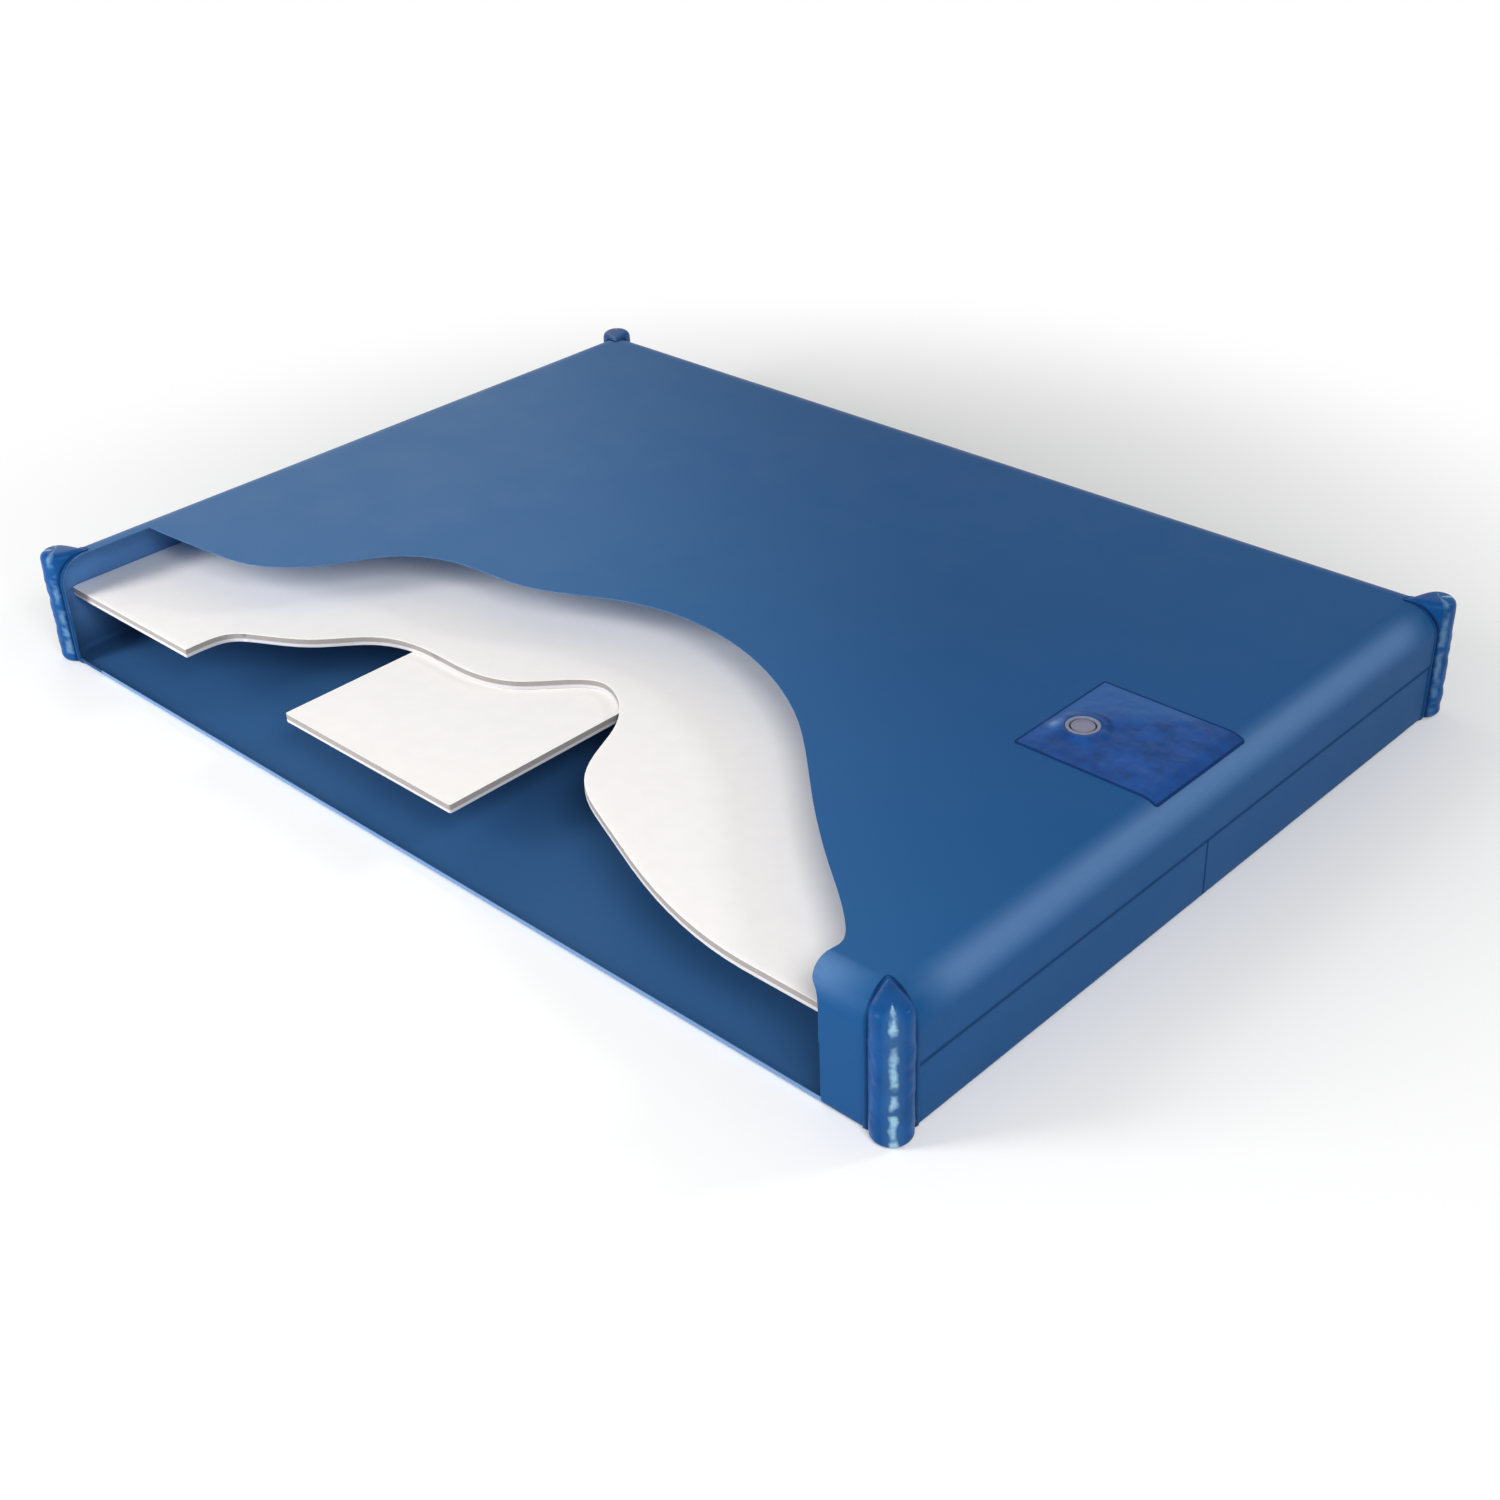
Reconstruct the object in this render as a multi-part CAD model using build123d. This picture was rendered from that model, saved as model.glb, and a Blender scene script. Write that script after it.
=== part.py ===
from build123d import *
import os
from math import sqrt

# Hardside waterbed mattress, queen size, with its near long side cut away to show the inside.
# Frame: origin at the centre of the footprint, on the surface that the mattress lies on.
# +X points to the foot end, where the valve is, -Y to the side that is cut away, and +Z up.
# All sizes are millimetres.

# Bladder
bladder_length = 2134.0
bladder_width = 1524.0
bladder_height = 229.0
vinyl = 1.5
corner_radius = 62.0
shoulder_radius = 60.0
base_radius = 12.0
seam_height = 114.0
seam_lap = 20.0
cut_over = 30.0

# Cut-away side
lip_height = 14.0
head_strip = 71.0
gusset_margin = 2.0
wall_cut_share = 0.874

# Corner gussets, which run up each corner as one round bulge and over the shoulder to a point
gusset_radius = 32.0
gusset_inset = 20.0
gusset_point = 72.0
gusset_rise = 3.0
gusset_round = 14.0
gusset_foot_radius = 11.0
gusset_flange = 8.0
gusset_flange_point = 66.0
gusset_flange_round = 5.0

# Stabiliser layer and lumbar pad
fibre_thickness = 18.0
fibre_height = 120.0
fibre_edge_inset = 43.0
fibre_corner = 5.0
fibre_edge_round = 2.5
fit_gap = 0.3
pad_length = 452.0
pad_centre_share = -0.129

# Valve patch
patch_length = 270.0
patch_width = 248.0
patch_thickness = 1.2
patch_corner = 6.0
patch_centre_share = 0.848
patch_side_offset = 8.0

# Valve, whose cap sits in a well of the collar
valve_centre_share = 0.777
valve_side_offset = -11.0
collar_radius = 29.0
collar_rim_width = 6.4
collar_rim_height = 4.8
collar_round = 2.2
collar_wall = 2.5
well_depth = 10.5
sleeve_wall = 2.5
sleeve_depth = 19.5
neck_radius = 16.5
neck_wall = 2.5
neck_height = 4.2
neck_foot_width = 4.0
neck_foot_thickness = 1.5
plug_depth = 11.0
plug_wall = 1.6
plug_head_width = 2.0
plug_head_thickness = 1.2
plug_bar_width = 3.0
seal_width = 5.0
seal_thickness = 1.2
cap_skirt = 2.9
cap_plate = 2.4
cap_skirt_clearance = 0.5
cap_groove = 0.9
cap_groove_count = 32
cap_round = 0.8
cap_dish_depth = 0.5
cap_dish_radius = 15.5

# Shapes chosen by hand, as shares of half the length and half the width
top_cut_shares = [
    (-0.787, -0.727),
    (-0.647, -0.690),
    (-0.562, -0.591),
    (-0.487, -0.438),
    (-0.403, -0.371),
    (-0.216, -0.337),
    (-0.056, -0.241),
    (0.108, -0.205),
    (0.281, -0.256),
    (0.431, -0.370),
    (0.581, -0.559),
    (0.731, -0.738),
    (0.825, -0.846),
    (0.850, -0.899),
    (0.847, -0.942),
    (0.853, -0.980),
]
top_cut_start_share = -0.741
layer_cut_shares = [
    (-0.627, -0.895),
    (-0.618, -0.832),
    (-0.575, -0.786),
    (-0.484, -0.709),
    (-0.408, -0.605),
    (-0.330, -0.567),
    (-0.172, -0.562),
    (-0.110, -0.532),
    (-0.050, -0.455),
    (0.012, -0.400),
    (0.062, -0.421),
    (0.133, -0.526),
    (0.165, -0.625),
    (0.205, -0.707),
    (0.311, -0.790),
    (0.465, -0.878),
    (0.620, -0.934),
]
layer_cut_start_share = -0.627
layer_cut_end_share = 0.700

half_length = bladder_length / 2
half_width = bladder_width / 2
valve_x = half_length * valve_centre_share
patch_top = bladder_height + patch_thickness
rim_top = patch_top + collar_rim_height
well_radius = collar_radius - collar_rim_width
well_floor = rim_top - well_depth
cup_radius = well_radius + collar_wall
neck_top = well_floor + neck_height
plug_top = neck_top + plug_head_thickness
seal_top = plug_top + seal_thickness
cap_radius = neck_radius + fit_gap + cap_skirt
sleeve_radius = neck_radius + sleeve_wall
sleeve_bottom = bladder_height - sleeve_depth


def plan(inset):
    """Outline of the bladder seen from above, drawn in from its nominal size by inset."""
    return RectangleRounded(bladder_length - 2 * inset, bladder_width - 2 * inset, corner_radius - inset)


def upper_form(inset, start=seam_height):
    """Solid of the top half with its rounded shoulder, from start up."""
    block = extrude(Plane.XY.offset(start) * plan(inset), bladder_height - inset - start)
    return fillet(block.edges().group_by(Axis.Z)[-1], shoulder_radius - inset)


def lower_form(inset, floor, end=seam_height + seam_lap):
    """Solid of the bottom half with its rounded base, from floor up to end."""
    block = extrude(Plane.XY.offset(floor) * plan(inset), end - floor)
    return fillet(block.edges().group_by(Axis.Z)[0], base_radius - floor)


def block_between(x, y, z):
    """Box between three pairs of coordinates."""
    size = [pair[1] - pair[0] for pair in (x, y, z)]
    middle = [(pair[0] + pair[1]) / 2 for pair in (x, y, z)]
    return Pos(*middle) * Box(*size)


def bladder_envelope():
    """Space that the welded bladder takes up, with the step at the seam."""
    return upper_form(0) + lower_form(vinyl, 0)


def gusset_reach():
    """How far a gusset's flange reaches along a wall from the bladder's corner."""
    flange_radius = gusset_radius + gusset_flange
    return gusset_inset + sqrt(flange_radius**2 - gusset_inset**2)


def shaped(shares):
    """Places on the plan from shares of half the length and half the width."""
    return [(half_length * x, half_width * y) for x, y in shares]


def window_prism():
    """Space of the cut-away in the top sheet and the near wall."""
    wall_x = half_length * wall_cut_share
    strip_x = head_strip - half_length
    outside_y = -half_width - cut_over
    gusset_x = gusset_reach() + gusset_margin - half_length
    start = (strip_x, half_width * top_cut_start_share)
    wave_points = [start] + shaped(top_cut_shares) + [(wall_x, -half_width)]
    wave = Spline(*wave_points, tangents=[(1, 0), (1, -1)])
    rest = Polyline(
        wave_points[-1],
        (wall_x, outside_y),
        (gusset_x, outside_y),
        (gusset_x, -half_width),
        (strip_x, shoulder_radius - half_width),
        start,
    )
    return extrude(make_face(wave + rest), bladder_height + cut_over)


def top_sheet():
    """Top sheet with its shoulders and the skirt that laps over the bottom sheets."""
    shell = upper_form(0) - upper_form(vinyl, seam_height - cut_over)
    hole = Pos(valve_x, valve_side_offset, bladder_height) * Cylinder(cup_radius, cut_over)
    return shell - window_prism() - hole


def tub():
    """Both bottom sheets as one tray: floor and walls up to the top of the lap."""
    return lower_form(vinyl, 0) - lower_form(2 * vinyl, vinyl, bladder_height)


def near_wall_cut():
    """Space of the near wall that is cut away above the lip."""
    return block_between(
        (gusset_reach() + gusset_margin - half_length, half_length * wall_cut_share),
        (-half_width - cut_over, base_radius + 2 * vinyl - half_width),
        (lip_height, bladder_height),
    )


def bottom_sheet_near():
    """Near width of the bottom, with only a lip left along the cut."""
    near_half = block_between((-half_length, half_length), (-half_width, 0), (0, bladder_height))
    return (tub() & near_half) - near_wall_cut()


def bottom_sheet_far():
    """Far width of the bottom, with the strip that laps under the near width."""
    far_half = block_between((-half_length, half_length), (0, half_width), (0, bladder_height))
    lining = lower_form(2 * vinyl, vinyl) - lower_form(3 * vinyl, 2 * vinyl, bladder_height)
    lap = block_between((-half_length, half_length), (-seam_lap, vinyl), (0, seam_height))
    return (tub() & far_half) + (lining & lap)


def skin(grown):
    """Solid of the bladder, grown outward by grown all over but the floor."""
    return upper_form(-grown) + lower_form(-grown, 0)


def drop_prism(radius, point, foot, top):
    """Prism at the far foot corner, from foot to top: a circle drawn out inward to a point."""
    touch_reach = radius**2 / point
    touch_side = sqrt(radius**2 - touch_reach**2)
    left, right = (touch_reach, touch_side), (touch_reach, -touch_side)
    drop = make_face(ThreePointArc(left, (-radius, 0), right) + Polyline(right, (point, 0), left))
    axis = Plane((half_length - gusset_inset, half_width - gusset_inset, foot), x_dir=(-1, -1, 0))
    return extrude(axis * drop, top - foot)


def gusset_bulge(shrink, foot):
    """Round bulge of the far foot gusset, drawn in by shrink all over but at its foot."""
    radius = gusset_radius - shrink
    point = gusset_point * radius / gusset_radius
    bulge = drop_prism(radius, point, foot, bladder_height + gusset_rise - shrink)
    bulge = fillet(bulge.edges().group_by(Axis.Z)[-1], gusset_round - shrink)
    return fillet(bulge.edges().group_by(Axis.Z)[0], gusset_foot_radius - shrink)


def corner_gusset():
    """Gusset of the far foot corner: a hollow bulge with a flange welded to the bladder."""
    top = bladder_height + cut_over
    seat = drop_prism(gusset_radius + gusset_flange, gusset_flange_point, 0, top)
    tip = seat.edges().filter_by(Axis.Z).sort_by(Axis.X)[0]
    flange = skin(vinyl) & fillet(tip, gusset_flange_round)
    return gusset_bulge(0, 0) + flange - gusset_bulge(vinyl, vinyl) - bladder_envelope()


def stabiliser_layer():
    """Fibre layer across the whole bladder, its near edge cut back in a wave."""
    inset = 2 * vinyl + fit_gap
    near_y = fibre_edge_inset - half_width
    layer = extrude(Plane.XY.offset(fibre_height) * plan(inset), fibre_thickness)
    outside_y = -half_width - cut_over
    start = (half_length * layer_cut_start_share, near_y)
    end = (half_length * layer_cut_end_share, near_y)
    wave = Spline(start, *shaped(layer_cut_shares), end)
    rest = Polyline(
        end,
        (half_length, near_y),
        (half_length, outside_y),
        (-half_length, outside_y),
        (-half_length, near_y),
        start,
    )
    layer -= extrude(make_face(wave + rest), bladder_height)
    return layer


def lumbar_pad():
    """Fibre pad under the layer, at the small of the back, across the bed."""
    near_y = fibre_edge_inset - half_width
    middle_x = half_length * pad_centre_share
    pad = block_between(
        (middle_x - pad_length / 2, middle_x + pad_length / 2),
        (near_y, -near_y),
        (fibre_height - fibre_thickness, fibre_height),
    )
    pad = fillet(pad.edges().filter_by(Axis.Z), fibre_corner)
    return fillet(pad.edges().group_by(Axis.Z)[0], fibre_edge_round)


def valve_patch():
    """Patch welded over the top sheet, draped over the start of the foot shoulder."""
    outline = Pos(half_length * patch_centre_share, patch_side_offset) * RectangleRounded(
        patch_length, patch_width, patch_corner
    )
    column = extrude(outline, bladder_height + cut_over)
    hole = Pos(valve_x, valve_side_offset, bladder_height) * Cylinder(cup_radius, cut_over)
    return (upper_form(-patch_thickness) - upper_form(0, seam_height - cut_over)) & column - hole


def turned(points):
    """Solid turned about the valve's axis from a closed half section of radius and height pairs."""
    section = make_face(Plane.XZ * Polyline(*points, close=True))
    return Pos(valve_x, valve_side_offset, 0) * revolve(section, Axis.Z)


def valve_collar():
    """Soft collar: rim on the patch, a well through the sheets, and a sleeve round the neck."""
    cup_bottom = well_floor - collar_wall
    collar = turned(
        [
            (neck_radius, sleeve_bottom),
            (sleeve_radius, sleeve_bottom),
            (sleeve_radius, cup_bottom),
            (cup_radius, cup_bottom),
            (cup_radius, patch_top),
            (collar_radius, patch_top),
            (collar_radius, rim_top),
            (well_radius, rim_top),
            (well_radius, well_floor),
            (neck_radius, well_floor),
        ]
    )
    return fillet(collar.edges().group_by(Axis.Z)[-1], collar_round)


def valve_neck():
    """Neck that the cap screws on, with a foot under the collar's sleeve."""
    bore = neck_radius - neck_wall
    foot_radius = neck_radius + neck_foot_width
    foot_bottom = sleeve_bottom - neck_foot_thickness
    return turned(
        [
            (bore, foot_bottom),
            (foot_radius, foot_bottom),
            (foot_radius, sleeve_bottom),
            (neck_radius, sleeve_bottom),
            (neck_radius, neck_top),
            (bore, neck_top),
        ]
    )


def valve_plug():
    """Cup-shaped stopper whose head rests on the neck, with a bar to pull it by."""
    stem = neck_radius - neck_wall - fit_gap
    head = stem + plug_head_width
    bottom = neck_top - plug_depth
    cup = turned(
        [
            (0, bottom),
            (stem, bottom),
            (stem, neck_top),
            (head, neck_top),
            (head, plug_top),
            (stem - plug_wall, plug_top),
            (stem - plug_wall, bottom + plug_wall),
            (0, bottom + plug_wall),
        ]
    )
    bar_reach = stem - plug_wall
    bar_side = plug_bar_width / 2
    bar = block_between((-bar_reach, bar_reach), (-bar_side, bar_side), (bottom, plug_top))
    return cup + Pos(valve_x, valve_side_offset, 0) * bar


def valve_cap_seal():
    """Flat washer between the plug's head and the cap."""
    return turned(
        [
            (neck_radius - seal_width, plug_top),
            (neck_radius, plug_top),
            (neck_radius, seal_top),
            (neck_radius - seal_width, seal_top),
        ]
    )


def valve_cap():
    """Screw cap with a grooved grip and a dished top."""
    skirt_bottom = well_floor + cap_skirt_clearance
    cap_top = seal_top + cap_plate
    cap = turned(
        [
            (0, seal_top),
            (neck_radius + fit_gap, seal_top),
            (neck_radius + fit_gap, skirt_bottom),
            (cap_radius, skirt_bottom),
            (cap_radius, cap_top),
            (0, cap_top),
        ]
    )
    cap = fillet(cap.edges().group_by(Axis.Z)[-1], cap_round)
    centre = Pos(valve_x, valve_side_offset, cap_top)
    cap -= centre * Cylinder(cap_dish_radius, 2 * cap_dish_depth)
    grooves = PolarLocations(cap_radius, cap_groove_count) * Cylinder(cap_groove, 2 * cut_over)
    return cap - [centre * groove for groove in grooves]


def gussets():
    """One gusset for each corner, mirrored from the far foot one."""
    foot_far = corner_gusset()
    head_far = mirror(foot_far, Plane.YZ)
    return {
        "gusset_foot_far": foot_far,
        "gusset_foot_near": mirror(foot_far, Plane.XZ),
        "gusset_head_far": head_far,
        "gusset_head_near": mirror(head_far, Plane.XZ),
    }


def build():
    """Every piece by the name of its node."""
    pieces = {
        "top_sheet": top_sheet(),
        "bottom_sheet_near": bottom_sheet_near(),
        "bottom_sheet_far": bottom_sheet_far(),
        "stabiliser_layer": stabiliser_layer(),
        "lumbar_pad": lumbar_pad(),
        "valve_patch": valve_patch(),
        "valve_collar": valve_collar(),
        "valve_neck": valve_neck(),
        "valve_plug": valve_plug(),
        "valve_cap_seal": valve_cap_seal(),
        "valve_cap": valve_cap(),
    }
    pieces.update(gussets())
    return pieces


os.makedirs("parts", exist_ok=True)
for node, piece in build().items():
    export_step(piece, f"parts/{node}.step")
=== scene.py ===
from math import cos, radians, sin, tau

import bmesh
import bpy
import numpy as np
from mathutils import Matrix, Vector, noise


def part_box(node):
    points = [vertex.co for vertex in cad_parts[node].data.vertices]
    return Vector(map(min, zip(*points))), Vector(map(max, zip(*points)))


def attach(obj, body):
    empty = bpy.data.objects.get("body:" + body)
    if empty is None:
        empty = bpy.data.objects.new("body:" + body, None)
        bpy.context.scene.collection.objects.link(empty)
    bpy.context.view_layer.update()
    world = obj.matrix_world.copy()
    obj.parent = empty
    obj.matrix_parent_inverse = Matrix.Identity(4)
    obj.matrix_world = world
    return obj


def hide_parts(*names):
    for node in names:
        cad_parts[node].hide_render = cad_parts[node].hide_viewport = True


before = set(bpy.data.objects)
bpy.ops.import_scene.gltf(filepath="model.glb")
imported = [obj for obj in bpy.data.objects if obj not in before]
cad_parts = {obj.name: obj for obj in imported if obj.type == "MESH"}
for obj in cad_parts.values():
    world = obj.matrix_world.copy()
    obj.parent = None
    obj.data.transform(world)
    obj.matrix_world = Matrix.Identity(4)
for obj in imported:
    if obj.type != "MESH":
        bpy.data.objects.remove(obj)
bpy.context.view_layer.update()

# Sizes of the mattress in metres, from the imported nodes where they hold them
sheet_low, sheet_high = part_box("top_sheet")
half_length = sheet_high.x
half_width = sheet_high.y
top_z = sheet_high.z
lap_z = sheet_low.z
vinyl = 0.0015
corner_radius = 0.062
shoulder_radius = 0.060
shoulder_z = top_z - shoulder_radius
patch_low, patch_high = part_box("valve_patch")
cap_low, cap_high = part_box("valve_cap")
valve = (cap_low + cap_high) / 2

# Camera at the photo's viewing angle
view_azimuth = radians(44.637)
view_elevation = radians(31.999)
view_roll = radians(-2.336)
view_place = Vector((2.4181, -2.3768, 1.9627))
view_lens_mm = 49.60


def make_camera():
    """Camera turned and placed as the photo's."""
    back = Vector((
        sin(view_azimuth) * cos(view_elevation),
        -cos(view_azimuth) * cos(view_elevation),
        sin(view_elevation),
    ))
    right = Vector((0, 0, 1)).cross(back).normalized()
    up = back.cross(right)
    across = cos(view_roll) * right + sin(view_roll) * up
    upright = cos(view_roll) * up - sin(view_roll) * right
    turn = Matrix((across, upright, back)).transposed()
    data = bpy.data.cameras.new("camera")
    data.lens = view_lens_mm
    data.clip_start = 0.05
    data.clip_end = 60
    camera = bpy.data.objects.new("camera", data)
    camera.matrix_world = Matrix.Translation(view_place) @ turn.to_4x4()
    bpy.context.scene.collection.objects.link(camera)
    bpy.context.scene.camera = camera


# Light and floor, which turns plain white to the eye between the two fade distances
world_light = 0.26
floor_reach = 15.0
floor_fade_start = 1.1
floor_fade_end = 2.2


def aim(thing, place, target):
    """Puts a lamp at place and turns it to target."""
    thing.location = place
    thing.rotation_mode = "QUATERNION"
    thing.rotation_quaternion = (Vector(target) - Vector(place)).to_track_quat("-Z", "Y")


def softbox(name, place, target, size, watts):
    """Square area lamp."""
    data = bpy.data.lights.new(name, "AREA")
    data.shape = "SQUARE"
    data.size = size
    data.energy = watts
    lamp = bpy.data.objects.new(name, data)
    bpy.context.scene.collection.objects.link(lamp)
    aim(lamp, place, target)


def seen_share(nodes, links):
    """1 for rays that show the background to the eye, to gloss and through glass, and 0 for light."""
    path = nodes.new("ShaderNodeLightPath")
    total = path.outputs["Is Camera Ray"]
    for name in ("Is Glossy Ray", "Is Transmission Ray"):
        either = nodes.new("ShaderNodeMath")
        either.operation = "MAXIMUM"
        links.new(total, either.inputs[0])
        links.new(path.outputs[name], either.inputs[1])
        total = either.outputs["Value"]
    return total


def make_light():
    """Soft studio light: a white world and large lamps."""
    world = bpy.data.worlds.new("studio")
    world.use_nodes = True
    nodes, links = world.node_tree.nodes, world.node_tree.links
    background = nodes["Background"]
    background.inputs["Color"].default_value = (1, 1, 1, 1)
    seen = nodes.new("ShaderNodeMapRange")
    seen.inputs["To Min"].default_value = world_light
    seen.inputs["To Max"].default_value = 1.0
    links.new(seen_share(nodes, links), seen.inputs["Value"])
    links.new(seen.outputs["Result"], background.inputs["Strength"])
    bpy.context.scene.world = world
    middle = (0, 0, 0.1)
    softbox("key", (3.4, -2.3, 3.3), middle, 1.8, 116)
    softbox("overhead", (-0.6, 0.6, 4.4), middle, 2.6, 5)
    softbox("head_side", (-4.4, 1.9, 2.1), (-0.6, 0.2, 0.2), 2.4, 26)
    softbox("foot_side", (3.2, 3.4, 3.2), (1.0, 0.1, 0.2), 1.0, 50)
    softbox("near_side", (-1.8, -3.9, 2.7), (-0.3, -0.6, 0.2), 1.6, 86)
    softbox("cut_side", (-1.3, -3.4, 1.0), (-0.55, -0.4, 0.18), 1.1, 48)


def make_floor():
    """Plain pale floor, plain white to the eye well away from the object."""
    mesh = bpy.data.meshes.new("floor")
    corners = [(x * floor_reach, y * floor_reach, 0) for x, y in ((-1, -1), (1, -1), (1, 1), (-1, 1))]
    mesh.from_pydata(corners, [], [(0, 1, 2, 3)])
    floor = bpy.data.objects.new("floor", mesh)
    bpy.context.scene.collection.objects.link(floor)
    paint = bpy.data.materials.new("floor_paint")
    paint.use_nodes = True
    nodes, links = paint.node_tree.nodes, paint.node_tree.links
    shader = nodes["Principled BSDF"]
    shader.inputs["Base Color"].default_value = (0.95, 0.95, 0.95, 1)
    shader.inputs["Roughness"].default_value = 0.9
    shader.inputs["Specular IOR Level"].default_value = 0.1
    place = nodes.new("ShaderNodeTexCoord").outputs["Object"]
    middle_distance = nodes.new("ShaderNodeVectorMath")
    middle_distance.operation = "LENGTH"
    links.new(place, middle_distance.inputs[0])
    far = nodes.new("ShaderNodeMapRange")
    far.interpolation_type = "SMOOTHSTEP"
    far.inputs["From Min"].default_value = floor_fade_start
    far.inputs["From Max"].default_value = floor_fade_end
    links.new(middle_distance.outputs["Value"], far.inputs["Value"])
    share = nodes.new("ShaderNodeMath")
    share.operation = "MULTIPLY"
    links.new(far.outputs["Result"], share.inputs[0])
    links.new(seen_share(nodes, links), share.inputs[1])
    white = nodes.new("ShaderNodeEmission")
    blend = nodes.new("ShaderNodeMixShader")
    links.new(share.outputs["Value"], blend.inputs["Fac"])
    links.new(shader.outputs["BSDF"], blend.inputs[1])
    links.new(white.outputs["Emission"], blend.inputs[2])
    links.new(blend.outputs["Shader"], nodes["Material Output"].inputs["Surface"])
    floor.data.materials.append(paint)


# Materials
noise_low = 0.3
noise_high = 0.7


def linear(red, green, blue):
    """Linear colour from one written in display values of 0 to 255."""
    share = np.array([red, green, blue]) / 255
    low = share / 12.92
    high = ((share + 0.055) / 1.055) ** 2.4
    return (*np.where(share <= 0.04045, low, high), 1.0)


def scaled(colour, share):
    """Colour with its channels multiplied by share."""
    return (*(channel * share for channel in colour[:3]), 1.0)


class Paint:
    """Node material with short ways to add the nodes that the pieces share."""

    def __init__(self, name, roughness, specular=0.5):
        self.material = bpy.data.materials.new(name)
        self.material.use_nodes = True
        self.nodes = self.material.node_tree.nodes
        self.links = self.material.node_tree.links
        self.shader = self.nodes["Principled BSDF"]
        self.shader.inputs["Roughness"].default_value = roughness
        self.shader.inputs["Specular IOR Level"].default_value = specular
        self.place = self.nodes.new("ShaderNodeTexCoord").outputs["Object"]

    def noise(self, scale, detail=3.0, stretch=(1, 1, 1)):
        """Noise value over the piece's own place."""
        mapping = self.nodes.new("ShaderNodeMapping")
        mapping.inputs["Scale"].default_value = stretch
        texture = self.nodes.new("ShaderNodeTexNoise")
        texture.inputs["Scale"].default_value = scale
        texture.inputs["Detail"].default_value = detail
        self.links.new(self.place, mapping.inputs["Vector"])
        self.links.new(mapping.outputs["Vector"], texture.inputs["Vector"])
        return texture.outputs["Fac"]

    def spread(self, value, low, high, start=0.0, end=1.0):
        """Value from start to end spread over low to high."""
        node = self.nodes.new("ShaderNodeMapRange")
        node.inputs["From Min"].default_value = start
        node.inputs["From Max"].default_value = end
        node.inputs["To Min"].default_value = low
        node.inputs["To Max"].default_value = high
        self.links.new(value, node.inputs["Value"])
        return node.outputs["Result"]

    def cloudy(self, scale, detail, low=0, high=1):
        """Noise spread from low to high over most of its range."""
        return self.spread(self.noise(scale, detail), low, high, noise_low, noise_high)

    def mixed(self, share, first, second):
        """Colour between two colours or colour outputs."""
        node = self.nodes.new("ShaderNodeMix")
        node.data_type = "RGBA"
        self.links.new(share, node.inputs["Factor"])
        for socket, colour in ((node.inputs["A"], first), (node.inputs["B"], second)):
            if isinstance(colour, tuple):
                socket.default_value = colour
            else:
                self.links.new(colour, socket)
        return node.outputs["Result"]

    def blend(self, share, first, second):
        """Number between first and second, each a number or an output."""
        node = self.nodes.new("ShaderNodeMix")
        self.links.new(share, node.inputs["Factor"])
        for socket, value in ((node.inputs["A"], first), (node.inputs["B"], second)):
            if isinstance(value, float):
                socket.default_value = value
            else:
                self.links.new(value, socket)
        return node.outputs["Result"]

    def attribute(self, name):
        """Number that a piece's mesh carries at each point."""
        node = self.nodes.new("ShaderNodeAttribute")
        node.attribute_name = name
        return node.outputs["Fac"]

    def axes(self):
        """The place's three coordinates at rest."""
        node = self.nodes.new("ShaderNodeSeparateXYZ")
        self.links.new(self.place, node.inputs["Vector"])
        return node.outputs["X"], node.outputs["Y"], node.outputs["Z"]

    def sum(self, operation, first, second=0.0):
        """Result of one operation on numbers or outputs."""
        node = self.nodes.new("ShaderNodeMath")
        node.operation = operation
        for socket, value in ((node.inputs[0], first), (node.inputs[1], second)):
            if isinstance(value, (int, float)):
                socket.default_value = value
            else:
                self.links.new(value, socket)
        return node.outputs["Value"]

    def near(self, value, place, core, edge):
        """1 within core of place, falling to 0 at edge."""
        off = self.sum("ABSOLUTE", self.sum("SUBTRACT", value, place))
        return self.spread(off, 1, 0, core, edge)

    def all_of(self, *shares):
        """Product of shares."""
        total = shares[0]
        for share in shares[1:]:
            total = self.sum("MULTIPLY", total, share)
        return total

    def any_of(self, *shares):
        """Largest of shares."""
        total = shares[0]
        for share in shares[1:]:
            total = self.sum("MAXIMUM", total, share)
        return total

    def from_valve(self):
        """Distance from the valve's axis."""
        flat = self.nodes.new("ShaderNodeVectorMath")
        flat.operation = "MULTIPLY"
        flat.inputs[1].default_value = (1, 1, 0)
        self.links.new(self.place, flat.inputs[0])
        off = self.nodes.new("ShaderNodeVectorMath")
        off.operation = "DISTANCE"
        off.inputs[1].default_value = (valve.x, valve.y, 0)
        self.links.new(flat.outputs["Vector"], off.inputs[0])
        return off.outputs["Value"]

    def rings(self, spacing):
        """Wave of that spacing outward from the valve's axis."""
        turns = self.spread(self.from_valve(), 0, tau, 0, spacing)
        turns.node.clamp = False
        wave = self.nodes.new("ShaderNodeMath")
        wave.operation = "SINE"
        self.links.new(turns, wave.inputs[0])
        return wave.outputs["Value"]

    def colour(self, value):
        """Sets the base colour to a colour or a colour output."""
        socket = self.shader.inputs["Base Color"]
        if isinstance(value, tuple):
            socket.default_value = value
        else:
            self.links.new(value, socket)

    def roughness(self, value):
        """Sets the roughness to an output."""
        self.links.new(value, self.shader.inputs["Roughness"])

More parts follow.
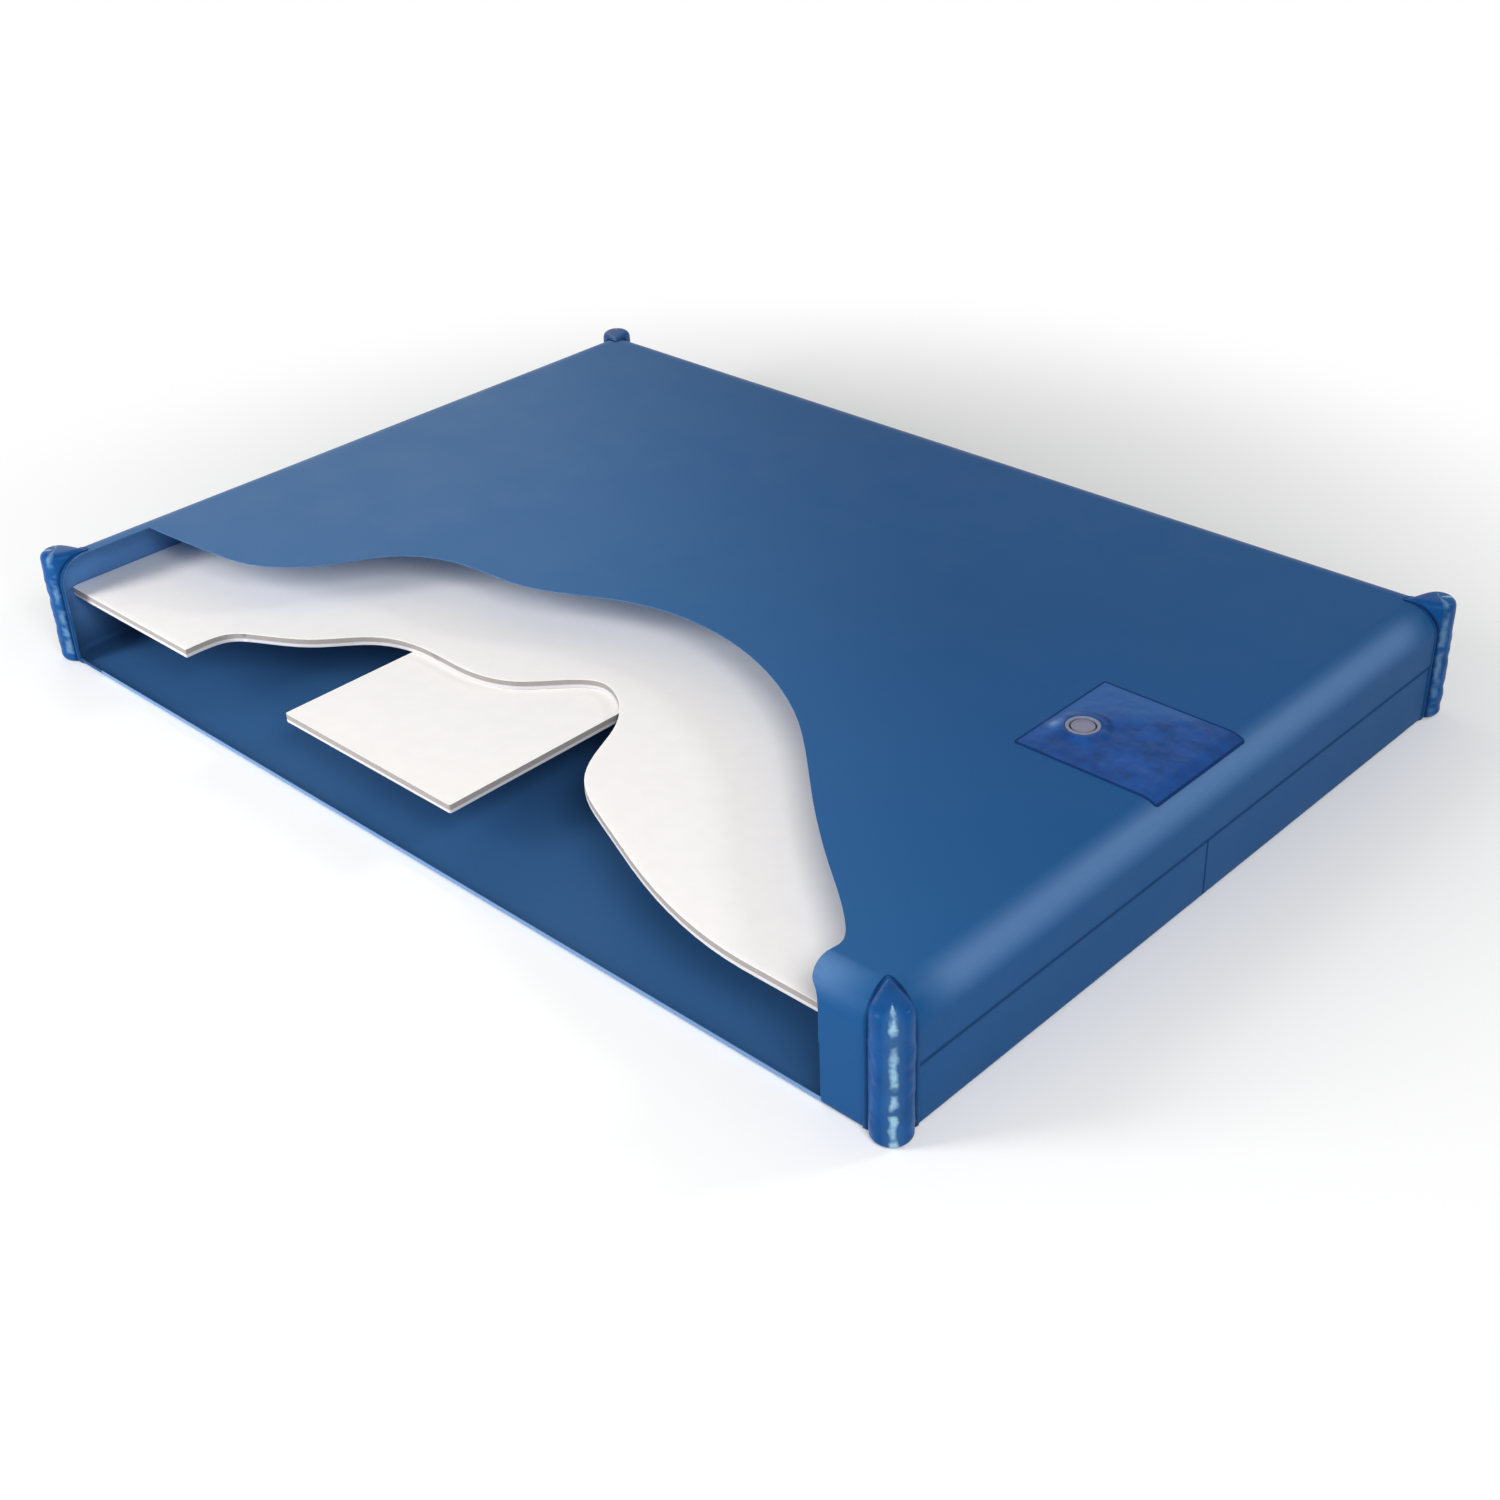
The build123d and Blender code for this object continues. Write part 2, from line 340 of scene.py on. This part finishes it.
    def bump(self, value, distance, strength=1.0):
        """Adds a bump of that height, under any that is there."""
        node = self.nodes.new("ShaderNodeBump")
        node.inputs["Distance"].default_value = distance
        node.inputs["Strength"].default_value = strength
        self.links.new(value, node.inputs["Height"])
        socket = self.shader.inputs["Normal"]
        if socket.links:
            self.links.new(socket.links[0].from_socket, node.inputs["Normal"])
        self.links.new(node.outputs["Normal"], socket)


# Painted sheen on the head half of the top, a paler colour standing in for light: how its boundary leans,
# where it lies, and the depths under the top it ends at
sheen_lean = 1.15
fade_start = -0.50
fade_end = 0.75
sheen_none_depth = 0.03
sheen_full_depth = 0.004


def top_painted_sheen(paint):
    """Share of the painted sheen on the top, from none at the far foot corner to all at the head."""
    x, y, z = paint.axes()
    place = paint.sum("ADD", x, paint.sum("MULTIPLY", y, sheen_lean))
    fade = paint.spread(place, 1, 0, fade_start, fade_end)
    fade.node.interpolation_type = "SMOOTHSTEP"
    return paint.all_of(fade, paint.spread(z, 0, 1, top_z - sheen_none_depth, top_z - sheen_full_depth))


def carried(name):
    """Share that a piece's mesh carries."""
    return lambda paint: paint.attribute(name)


# Vinyl; the sheets' inside walls are painted paler as painted light, turning paler between the two heights
# named here
vinyl_gloss = (0.75, 0.9, 1.0, 1.0)
wear_roughness = 0.04
weld_roughness = 0.7
grain_height = 0.00008
dimple_height = 0.0003
dimple_strength = 0.4
inside_light_start = 0.01
inside_light_end = 0.08


def vinyl_paint(
    name, body, second, weld_and_shade, painted_highlight, rough, second_rough, specular, shares, mottle=0.04, cloud=1.3, painted_sheen=None
):
    """Vinyl with a cloudy tint and fine grain, a second finish (on the sheets, paler inside colours that are
    painted light), dark matt pressed lines and painted shade, and painted highlights, with a painted sheen
    when one is given.
    """
    paint = Paint(name, rough, specular)
    paint.shader.inputs["Specular Tint"].default_value = vinyl_gloss
    second_share, weld_and_shade_share, highlight_share = [share(paint) for share in shares]
    tint = paint.mixed(paint.cloudy(cloud, 2), scaled(body, 1 - mottle), scaled(body, 1 + mottle))
    # Painted sheen: the top turns to a paler colour towards the head
    if painted_sheen:
        tint = paint.mixed(top_painted_sheen(paint), tint, painted_sheen)
    # On the sheets second is a pair of inside colours, painted light: paler than the body, and paler still
    # up the inside walls
    if isinstance(second, list):
        second = paint.mixed(paint.spread(paint.axes()[2], 0, 1, inside_light_start, inside_light_end), *second)
    tint = paint.mixed(second_share, tint, second)
    # Dark pressed lines, and on the patch painted shade round the valve and in an arc beside it
    tint = paint.mixed(weld_and_shade_share, tint, weld_and_shade)
    # Painted highlights
    paint.colour(paint.mixed(highlight_share, tint, painted_highlight))
    worn = paint.cloudy(9, 4, rough - wear_roughness, rough + wear_roughness)
    paint.roughness(paint.blend(weld_and_shade_share, paint.blend(second_share, worn, second_rough), weld_roughness))
    paint.bump(paint.noise(900, 2), grain_height)
    paint.bump(paint.noise(60, 3), dimple_height, dimple_strength)
    return paint.material


# Fibre, whose cut sides are painted in shade, darker above the line between these two heights
dark_side_start = 0.36
dark_side_end = 0.44
strand_height = 0.0004
strand_strength = 0.35
strand_squeeze = 0.18


def fibre_paint():
    """Bonded polyester fibre: warm white, matt, with a web of fine strands, and painted shade on its cut
    sides, grey on their upper part and paler grey below.
    """
    paint = Paint("fibre", 0.95, 0.1)
    white = linear(245, 242, 240)
    shade = linear(243, 240, 238)
    base = paint.mixed(paint.spread(paint.noise(28, 4), 0, 1, 0.35, 0.65), shade, white)
    # Painted shade on the cut sides: grey above, paler grey below
    upper = paint.mixed(paint.noise(220, 3, (1, 1, 3)), linear(142, 137, 135), linear(172, 167, 164))
    lower = linear(214, 212, 216)
    side = paint.mixed(paint.spread(paint.attribute("side_shade_height"), 0, 1, dark_side_start, dark_side_end), lower, upper)
    paint.colour(paint.mixed(paint.attribute("side"), base, side))
    for stretch in ((1, strand_squeeze, 1), (strand_squeeze, 1, 1)):
        paint.bump(paint.noise(700, 5, stretch), strand_height, strand_strength)
    paint.shader.inputs["Sheen Weight"].default_value = 0.1
    paint.shader.inputs["Sheen Roughness"].default_value = 0.6
    return paint.material


# Moulded plastic and rubber
moulded_specular = 0.35
moulded_shade = 0.9
moulded_grain = 0.0001
ring_height_share = 1 / 16


def moulded_paint(name, body, rough, ring=0.0):
    """Moulded plastic or rubber with a fine spark texture, a cloudy tint and rings of that spacing."""
    paint = Paint(name, rough, moulded_specular)
    paint.colour(paint.mixed(paint.cloudy(90, 3), scaled(body, moulded_shade), body))
    paint.bump(paint.noise(1500, 2), moulded_grain)
    if ring:
        paint.bump(paint.rings(ring), ring * ring_height_share)
    return paint.material


# Meshes: the cells that pieces are sliced into, and the limits of the mesh steps
fine_step = 0.0035
sheet_step = 0.03
sheet_margin = 0.072
sheet_margin_step = 0.006
fibre_step = 0.012
quick_coarseness = 2.5
merge_distance = 1e-6
slice_tolerance = 1e-7
tiny = 1e-9
flat_turn = radians(0.5)
edge_turn = radians(50)


def cut_places(low, high, step, margin, margin_step):
    """Places of the slices along one axis: margin_step apart near both ends and step apart between."""
    if high - low <= 2 * margin:
        count = max(1, round((high - low) / step))
        return [low + (high - low) * index / count for index in range(1, count)]
    rim_count = round(margin / margin_step)
    rim = [margin * index / rim_count for index in range(1, rim_count + 1)]
    count = max(1, round((high - low - 2 * margin) / step))
    middle = [low + margin + (high - low - 2 * margin) * index / count for index in range(1, count)]
    return [low + reach for reach in rim] + middle + [high - reach for reach in reversed(rim)]


def fine_copy(node, name, step, bevel=0.0, margin=0.0, margin_step=0.01):
    """Copy of a node's mesh sliced into cells of about step, so that it can take a soft shape."""
    coarse = quick_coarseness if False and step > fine_step else 1.0
    mesh = bpy.data.meshes.new(name)
    form = bmesh.new()
    form.from_mesh(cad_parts[node].data)
    bmesh.ops.remove_doubles(form, verts=form.verts, dist=merge_distance)
    bmesh.ops.dissolve_limit(form, angle_limit=flat_turn, verts=form.verts, edges=form.edges)
    if bevel:
        sharp = [edge for edge in form.edges if edge.calc_face_angle(0) > edge_turn]
        bmesh.ops.bevel(form, geom=sharp, offset=bevel, segments=3, profile=0.5, affect="EDGES")
    low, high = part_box(node)
    for axis in range(3):
        face_normal = Vector((0, 0, 0))
        face_normal[axis] = 1
        waiting = set(form.faces)
        for cut in cut_places(low[axis], high[axis], step * coarse, margin, margin_step * coarse):
            at = Vector((0, 0, 0))
            at[axis] = cut
            waiting = {
                face for face in waiting
                if max(corner.co[axis] for corner in face.verts) > at[axis]
            }
            crossed = [
                face for face in waiting
                if min(corner.co[axis] for corner in face.verts) < at[axis]
            ]
            edges = {edge for face in crossed for edge in face.edges}
            corners = {corner for face in crossed for corner in face.verts}
            made = bmesh.ops.bisect_plane(
                form,
                geom=[*corners, *edges, *crossed],
                dist=slice_tolerance,
                plane_co=at,
                plane_no=face_normal,
            )
            waiting.difference_update(crossed)
            waiting.update(part for part in made["geom"] if isinstance(part, bmesh.types.BMFace))
    bmesh.ops.recalc_face_normals(form, faces=form.faces)
    form.to_mesh(mesh)
    form.free()
    piece = bpy.data.objects.new(name, mesh)
    bpy.context.scene.collection.objects.link(piece)
    return piece


def places(piece):
    """The piece's points as an array."""
    flat = np.zeros(len(piece.data.vertices) * 3)
    piece.data.vertices.foreach_get("co", flat)
    return flat.reshape(-1, 3)


def soften(piece, chosen, times=70):
    """Rounds the piece's chosen points off between their neighbours."""
    form = bmesh.new()
    form.from_mesh(piece.data)
    form.verts.ensure_lookup_table()
    corners = [form.verts[index] for index in np.flatnonzero(chosen)]
    for _ in range(times):
        bmesh.ops.smooth_vert(
            form, verts=corners, factor=0.5, use_axis_x=True, use_axis_y=True, use_axis_z=True
        )
    form.to_mesh(piece.data)
    form.free()


def outward_normals(piece):
    """The piece's point normals as an array."""
    flat = np.zeros(len(piece.data.vertices) * 3)
    piece.data.vertices.foreach_get("normal", flat)
    return flat.reshape(-1, 3)


def move_to(piece, points):
    """Moves the piece's points."""
    piece.data.vertices.foreach_set("co", points.ravel())
    piece.data.update()


def carry(piece, name, values, where="POINT"):
    """Gives the piece's mesh a number at each point or face, for its material."""
    attribute = piece.data.attributes.new(name, "FLOAT", where)
    attribute.data.foreach_set("value", np.asarray(values, dtype=np.float32))


def finish_piece(piece, material, node, smooth=40):
    """Shades, paints and fastens a piece that stands for a node."""
    piece.data.materials.clear()
    piece.data.materials.append(material)
    piece.data.shade_smooth()
    piece.data.set_sharp_from_angle(angle=radians(smooth))
    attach(piece, "mattress")
    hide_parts(node)


def smooth_step(values, start, end):
    """0 before start, 1 after end and a soft step between."""
    share = np.clip((values - start) / (end - start), 0, 1)
    return share * share * (3 - 2 * share)


def noise_at(points, size, seed=0.0):
    """Soft noise of about -1 to 1 with lumps of that size."""
    return np.array([noise.noise(Vector(point) / size + Vector((seed, seed, seed))) for point in points])


def core_of(points):
    """Nearest places on the core that the bladder's walls and shoulders are rounded about."""
    inner = np.array([half_length, half_width]) - corner_radius
    core = points.copy()
    nearest = np.clip(points[:, :2], -inner, inner)
    off = points[:, :2] - nearest
    far = np.maximum(np.linalg.norm(off, axis=1), tiny)
    core[:, :2] = nearest + off * np.minimum(1, (corner_radius - shoulder_radius) / far)[:, None]
    core[:, 2] = np.minimum(points[:, 2], shoulder_z)
    return core


def outward_of(points):
    """Unit outward directions of the bladder at points, and their distance from its core."""
    off = points - core_of(points)
    far = np.linalg.norm(off, axis=1)
    return off / np.maximum(far, tiny)[:, None], far


def corner_distance(points):
    """Distance in plan from the nearest corner of the bladder."""
    corner = np.array([half_length, half_width])
    return np.linalg.norm(np.abs(points[:, :2]) - corner, axis=1)


# Give of the soft vinyl, which dies out between the two distances from a corner, the floor or the patch
corner_calm = (0.065, 0.16)
floor_calm = (0.012, 0.06)
patch_calm = (0.138, 0.2)
slow_height = 0.0003
slow_size = 0.33
pucker_height = 0.0008
pucker_size = 0.06
pucker_reach = 0.09


def give(points):
    """How far the soft vinyl stands off its nominal form at points."""
    near_corner = corner_distance(points)
    free = smooth_step(near_corner, *corner_calm) * smooth_step(points[:, 2], *floor_calm)
    patch_middle = np.array([(patch_low.x + patch_high.x) / 2, (patch_low.y + patch_high.y) / 2])
    from_patch = np.max(np.abs(points[:, :2] - patch_middle), axis=1)
    free = free * np.where(points[:, 2] > lap_z, smooth_step(from_patch, *patch_calm), 1)
    slow = slow_height * noise_at(points, slow_size)
    lumps = noise_at(points * np.array([1, 1, 0.6]), pucker_size, 3.0)
    pucker = pucker_height * lumps * np.exp(-near_corner / pucker_reach)
    return free * (slow + pucker)


# Sheets
form_tolerance = 0.0006
floor_skin_top = 0.004
floor_facing = 0.3
inside_facing = -0.2


def sheet_piece(node, name, material):
    """Vinyl sheet on its true round form, with the give of soft vinyl and dark lines where it is welded."""
    piece = fine_copy(node, name, sheet_step, margin=sheet_margin, margin_step=sheet_margin_step)
    points = places(piece)
    facing = outward_normals(piece)
    outward, far = outward_of(points)
    for radius in (shoulder_radius, shoulder_radius - vinyl):
        on_form = (np.abs(far - radius) < form_tolerance) & (points[:, 2] > shoulder_z)
        points[on_form] += outward[on_form] * (radius - far[on_form])[:, None]
    points += outward * give(points)[:, None]
    on_floor = (points[:, 2] < floor_skin_top) & (facing[:, 2] > floor_facing)
    inside = (np.sum(facing * outward, axis=1) < inside_facing) | on_floor
    # second marks the inside faces and the floor's top, which take the paler inside colour, painted light
    carry(piece, "second", inside)
    from_corner = smooth_step(corner_distance(points), *corner_calm)
    # stretch: share of the painted highlight along the shoulders, fading near the corners
    carry(piece, "stretch", shoulder_highlight_of(outward) * from_corner * ~inside)
    move_to(piece, points)
    finish_piece(piece, material, node)


# Painted highlight along the shoulders: the rises in degrees that it is brightest at, and how far and how
# strongly it shows
foot_highlight_turn = 42
near_highlight_turn = 60
highlight_half_turn = 29
highlight_least = 0.1
shoulder_highlight_share = 0.47


def shoulder_highlight_of(outward):
    """Strength of the painted highlight over the shoulder, by its outward direction."""
    rise = np.degrees(np.arcsin(np.clip(outward[:, 2], -1, 1)))
    toward_near = np.clip(-outward[:, 1], 0, 1) / np.maximum(np.hypot(outward[:, 0], outward[:, 1]), tiny)
    middle = foot_highlight_turn + (near_highlight_turn - foot_highlight_turn) * np.clip(toward_near, 0, 1)
    bell = np.exp(-(((rise - middle) / highlight_half_turn) ** 2))
    return np.clip((bell - highlight_least) / (1 - highlight_least), 0, 1)


# Pressed lines, and the lip's painted highlight: a line's two numbers are the half widths of its core and of
# its soft edge
lap_line_drop = 0.0006
lap_line = (0.0016, 0.0066)
butt_line = (0.0008, 0.0034)
butt_line_end = 0.001
wall_line_start = 0.030
wall_line_rise = 0.01
lip_top = 0.016
lip_reach = 0.006
lip_soft = 0.0015
wall_cut_share = 0.874
wall_cut_soft = 0.002


def sheet_lines(paint):
    """Lap line round the outside of the walls, and the butt line under it at mid-width."""
    _, y, z = paint.axes()
    outside = paint.sum("SUBTRACT", 1, paint.attribute("second"))
    line_start = wall_line_start - half_width
    past_near = paint.spread(y, 0, 1, line_start, line_start + wall_line_rise)
    lap = paint.all_of(paint.near(z, lap_z - lap_line_drop, *lap_line), past_near)
    under_lap = paint.spread(z, 1, 0, lap_z, lap_z + butt_line_end)
    middle = paint.all_of(paint.near(y, 0, *butt_line), under_lap)
    return paint.all_of(outside, paint.any_of(lap, middle))


def sheet_highlights(paint):
    """Painted highlights: along the lip of the bottom on the near side, and along the shoulders."""
    x, y, z = paint.axes()
    lip_side = lip_reach - half_width
    wall_cut = half_length * wall_cut_share
    lip = paint.all_of(
        paint.spread(y, 1, 0, lip_side, lip_side + lip_soft),
        paint.spread(z, 1, 0, lip_top, lip_top + lip_soft),
        paint.spread(paint.sum("ABSOLUTE", x), 1, 0, wall_cut, wall_cut + wall_cut_soft),
    )
    return paint.any_of(lip, paint.sum("MULTIPLY", paint.attribute("stretch"), shoulder_highlight_share))


def make_sheets():
    """Top sheet and the two bottom sheets."""
    material = vinyl_paint(
        "vinyl_sheet",
        body=linear(28, 78, 129),
        # Inside colours, painted light: paler copies of the body, the second one up the inside walls
        second=[linear(50, 90, 136), linear(86, 131, 186)],
        weld_and_shade=linear(13, 52, 98),
        # Painted highlight colour of the lip and shoulders
        painted_highlight=linear(112, 148, 194),
        # Colour of the painted sheen on the head half of the top
        painted_sheen=linear(50, 99, 149),
        rough=0.40,
        second_rough=0.5,
        specular=0.05,
        shares=(carried("second"), sheet_lines, sheet_highlights),
    )
    sheet_piece("top_sheet", "top_vinyl", material)
    sheet_piece("bottom_sheet_near", "bottom_vinyl_near", material)
    sheet_piece("bottom_sheet_far", "bottom_vinyl_far", material)


# Gussets: a share that runs between two distances is written as a pair
gusset_inset = 0.020
gusset_radius = 0.032
gusset_point = 0.072
gusset_roof_reach = 0.055
gusset_skin_gap = 0.003
gusset_flange_edge = (0.0002, 0.0016)
gusset_crease = (0.0015, 0.0060)
gusset_bulge_edge = (0.002, 0.009)
gusset_end_calm = (0.004, 0.02)
lump_height = 0.0011
lump_size = 0.019
grit_height = 0.0004
grit_size = 0.008
row_height = 0.0016
row_size = 0.021
# Painted highlight streaks on the bulges: where they run, in turns from the outward diagonal, and how
# strongly
ridge_turns = (0.06, 0.24)
ragged_turn = 0.08
glow_share = 0.10
glow_turns = (0.1, 0.6)
flank_turn = 1.35
flank_line = (0.06, 0.28)
flank_share = 0.3


def drop_distance(off, signs):
    """Distance in plan outside the gusset's drop outline at places off from its axis."""
    inward = -(off @ signs) / np.sqrt(2)
    across = np.abs(off[:, 0] * signs[1] - off[:, 1] * signs[0]) / np.sqrt(2)
    slant = gusset_radius / gusset_point
    on_side = np.arctan2(across, inward) < np.arccos(slant)
    side = inward * slant + across * np.sqrt(1 - slant**2) - gusset_radius
    return np.where(on_side, side, np.hypot(inward, across) - gusset_radius)


def gusset_lumps(points, signs):
    """Puckers of the moulded bulge: soft lumps, and a broken row of them up its ridge."""
    seed = 5.0 + signs[0] + 2 * signs[1]
    lumps = lump_height * noise_at(points * np.array([1, 1, 1.2]), lump_size, seed)
    lumps += grit_height * noise_at(points, grit_size, 9.0)
    row = noise_at(points * np.array([0.3, 0.3, 1]), row_size, seed + 20)
    return lumps + row_height * row


def gusset_flange(paint):
    """The flange, beyond the bulge's outline."""
    return paint.spread(paint.attribute("outside"), 0, 1, *gusset_flange_edge)


def gusset_outline(paint):
    """Pressed line where the bulge meets its flange."""
    return paint.spread(paint.attribute("crease"), 1, 0, *gusset_crease)


def gusset_painted_glints(paint):
    """Painted highlights: a pale broken streak up the ridge of a bulge, a faint painted glow round it, and
    weaker streaks up its flanks.
    """
    turn = paint.attribute("turn")
    broken = paint.spread(paint.noise(34, 2, (0.5, 0.5, 1)), 0.05, 1, 0.40, 0.54)
    ragged = paint.sum("ADD", turn, paint.cloudy(60, 2, -ragged_turn, ragged_turn))
    ridge = paint.all_of(paint.spread(ragged, 1, 0, *ridge_turns), broken)
    glow = paint.sum("MULTIPLY", paint.spread(turn, 1, 0, *glow_turns), glow_share)
    flank = paint.all_of(paint.near(ragged, flank_turn, *flank_line), broken, paint.attribute("flank_glints"))
    return paint.any_of(ridge, glow, paint.sum("MULTIPLY", flank, flank_share))


def make_gussets():
    """Four glossy moulded corner gussets with a lumpy bulge, a pressed outline and painted highlight
    streaks.
    """
    material = vinyl_paint(
        "vinyl_gusset",
        body=linear(16, 74, 134),
        second=linear(18, 72, 119),
        weld_and_shade=linear(10, 44, 92),
        # Painted highlight colour of the streaks
        painted_highlight=linear(150, 192, 214),
        rough=0.3,
        second_rough=0.4,
        specular=0.08,
        shares=(gusset_flange, gusset_outline, gusset_painted_glints),
        mottle=0.12,
        cloud=30,
    )
    for node in [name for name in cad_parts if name.startswith("gusset_")]:
        low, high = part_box(node)
        signs = np.sign([low.x + high.x, low.y + high.y])
        piece = fine_copy(node, node.replace("gusset", "corner"), fine_step)
        points = places(piece)
        off = points[:, :2] - np.array([half_length - gusset_inset, half_width - gusset_inset]) * signs
        far = np.linalg.norm(off, axis=1)
        outside = drop_distance(off, signs)
        _, from_core = outward_of(points)
        off_skin = from_core - shoulder_radius - vinyl
        across = (off[:, 0] * signs[1] - off[:, 1] * signs[0]) / np.sqrt(2)
        carry(piece, "turn", np.abs(np.arctan2(across, (off @ signs) / np.sqrt(2))))
        # Gussets whose flanks also carry painted highlight streaks
        carry(piece, "flank_glints", np.full(len(points), signs[0] * signs[1] > 0))
        carry(piece, "crease", np.hypot(outside, off_skin))
        carry(piece, "outside", outside)
        outer = far > gusset_radius - 2 * vinyl
        corner_side = smooth_step(off_skin, *gusset_bulge_edge)
        calm = smooth_step(points[:, 2], *gusset_end_calm)
        calm *= smooth_step(high.z - points[:, 2], *gusset_end_calm)
        shift = gusset_lumps(points, signs) * corner_side * calm * outer
        points[:, :2] += off / np.maximum(far, tiny)[:, None] * shift[:, None]
        move_to(piece, points)
        soften(piece, (points[:, 2] > high.z - gusset_roof_reach) & (off_skin > gusset_skin_gap))
        points = places(piece)
        outward, from_core = outward_of(points)
        sunk = np.minimum(off_skin, gusset_skin_gap) - (from_core - shoulder_radius - vinyl)
        move_to(piece, points + outward * np.maximum(sunk, 0)[:, None])
        finish_piece(piece, material, node)


# Valve patch: a share that runs between two distances is written as a pair
border_inset = 0.0018
border_line = (0.0010, 0.0034)
# Painted shade round the valve collar: its radius, widths and strength
valve_shade_radius = 0.0275
valve_shade_line = (0.0010, 0.0045)
valve_shade_share = 0.8
fold_share = 0.6
fold_turn = radians(70)
fold_radius = 0.044
fold_width = 0.005
held_from_border = (0.006, 0.03)
held_from_valve = (0.029, 0.036)
crumple_height = 0.002
ray_height = 0.003
ray_reach = 0.05
boss_height = 0.0036
boss_edge = (0.030, 0.056)
swell_middle = 0.044 * np.array([-0.86, -0.5])
swell_height = 0.005
swell_width = 0.013
glare_width = 0.012


def patch_lines_and_shade(paint):
    """Pressed border, and painted shade round the valve and in an arc beside it."""
    border = paint.near(paint.attribute("inside"), border_inset, *border_line)
    ring = paint.sum("MULTIPLY", paint.near(paint.from_valve(), valve_shade_radius, *valve_shade_line), valve_shade_share)
    return paint.any_of(border, ring, paint.sum("MULTIPLY", paint.attribute("fold_shade"), fold_share))


def make_patch():
    """Glossy wrinkled patch, welded down along its border and lifted round the valve."""
    material = vinyl_paint(
        "vinyl_patch",
        body=linear(23, 68, 133),
        second=linear(42, 88, 148),
        # Dark colour of the pressed border and of the painted shade round the valve
        weld_and_shade=linear(12, 44, 94),
        # Painted highlight colour on the swell beside the valve
        painted_highlight=linear(112, 146, 192),
        rough=0.3,
        second_rough=0.34,
        specular=0.08,
        shares=(carried("second"), patch_lines_and_shade, carried("painted_highlight")),
        mottle=0.25,
        cloud=28,
    )
    piece = fine_copy("valve_patch", "patch", fine_step)
    points = places(piece)
    outward, _ = outward_of(points)
    middle = np.array([(patch_low.x + patch_high.x) / 2, (patch_low.y + patch_high.y) / 2])
    half = np.array([(patch_high.x - patch_low.x) / 2, (patch_high.y - patch_low.y) / 2])
    place = points[:, :2] - middle
    inside = np.min(half - np.abs(place), axis=1)
    off = points[:, :2] - np.array([valve.x, valve.y])
    far = np.linalg.norm(off, axis=1)
    turn = np.arctan2(off[:, 1], off[:, 0])
    held = smooth_step(inside, *held_from_border) * smooth_step(far, *held_from_valve)
    crumple = np.abs(noise_at(points, 0.035, 2.0)) + 0.5 * np.abs(noise_at(points, 0.016, 4.0))
    rays = np.exp(-far / ray_reach) * (0.5 + 0.5 * np.cos(5 * turn + 2.5 * np.sin(2 * turn)))
    boss = boss_height * (1 - smooth_step(far, *boss_edge)) * smooth_step(inside, 0.0, 0.02)
    from_swell = np.linalg.norm(off - swell_middle, axis=1)
    swell = swell_height * np.exp(-((from_swell / swell_width) ** 2))
    lift = held * (crumple_height * crumple + ray_height * rays + swell) + boss
    # Painted shade in an arc beside the valve
    fold_shade = np.exp(-(((far - fold_radius) / fold_width) ** 2))
    fold_shade *= smooth_step(np.cos(turn - fold_turn), 0.2, 0.9)
    carry(piece, "fold_shade", fold_shade)
    carry(piece, "inside", inside)
    # Painted highlight on the swell beside the valve
    glare = np.exp(-((from_swell / glare_width) ** 2))
    carry(piece, "painted_highlight", glare * (0.6 + 0.5 * noise_at(points, 0.011, 8.0)))
    paler = smooth_step(place[:, 1] - place[:, 0] + 0.05 * noise_at(points, 0.07, 6.0), 0.02, 0.14)
    carry(piece, "second", paler)
    points += outward * lift[:, None]
    move_to(piece, points)
    finish_piece(piece, material, "valve_patch")


# Fibre
side_facing = 0.85
fibre_lump_height = 0.00008
fibre_lump_size = 0.05
fibre_sink = 0.0003
layer_bevel = 0.001


def fibre_piece(node, name, material, bevel=0.0):
    """Fibre mat with soft cut edges and a slightly uneven face."""
    piece = fine_copy(node, name, fibre_step, bevel)
    points = places(piece)
    low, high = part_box(node)
    flat = np.zeros(len(piece.data.polygons) * 3)
    piece.data.polygons.foreach_get("normal", flat)
    # Cut-side faces, which are painted in shade, and each point's height share for how dark
    carry(piece, "side", np.linalg.norm(flat.reshape(-1, 3)[:, :2], axis=1) > side_facing, "FACE")
    carry(piece, "side_shade_height", (points[:, 2] - low.z) / (high.z - low.z))
    upward = np.sign(points[:, 2] - (low.z + high.z) / 2)
    points[:, 2] += upward * (fibre_lump_height * noise_at(points, fibre_lump_size) - fibre_sink)
    move_to(piece, points)
    finish_piece(piece, material, node, smooth=25)


def make_fibre():
    """Stabiliser layer and lumbar pad."""
    material = fibre_paint()
    fibre_piece("stabiliser_layer", "fibre_layer", material, layer_bevel)
    fibre_piece("lumbar_pad", "fibre_pad", material)


# Valve
def repaint(node, material):
    """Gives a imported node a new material."""
    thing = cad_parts[node]
    thing.data.materials.clear()
    thing.data.materials.append(material)


def make_valve():
    """Finishes of the valve's pieces."""
    repaint("valve_collar", moulded_paint("collar_vinyl", linear(118, 124, 146), 0.35))
    repaint("valve_neck", moulded_paint("neck_plastic", linear(196, 198, 202), 0.35))
    repaint("valve_plug", moulded_paint("plug_plastic", linear(205, 206, 208), 0.4))
    repaint("valve_cap", moulded_paint("cap_plastic", linear(124, 124, 146), 0.4, ring=0.0018))
    repaint("valve_cap_seal", moulded_paint("seal_rubber", linear(52, 52, 54), 0.7))


make_camera()
make_light()
make_floor()
make_sheets()
make_gussets()
make_patch()
make_fibre()
make_valve()

bpy.context.scene.view_settings.view_transform = "Standard"
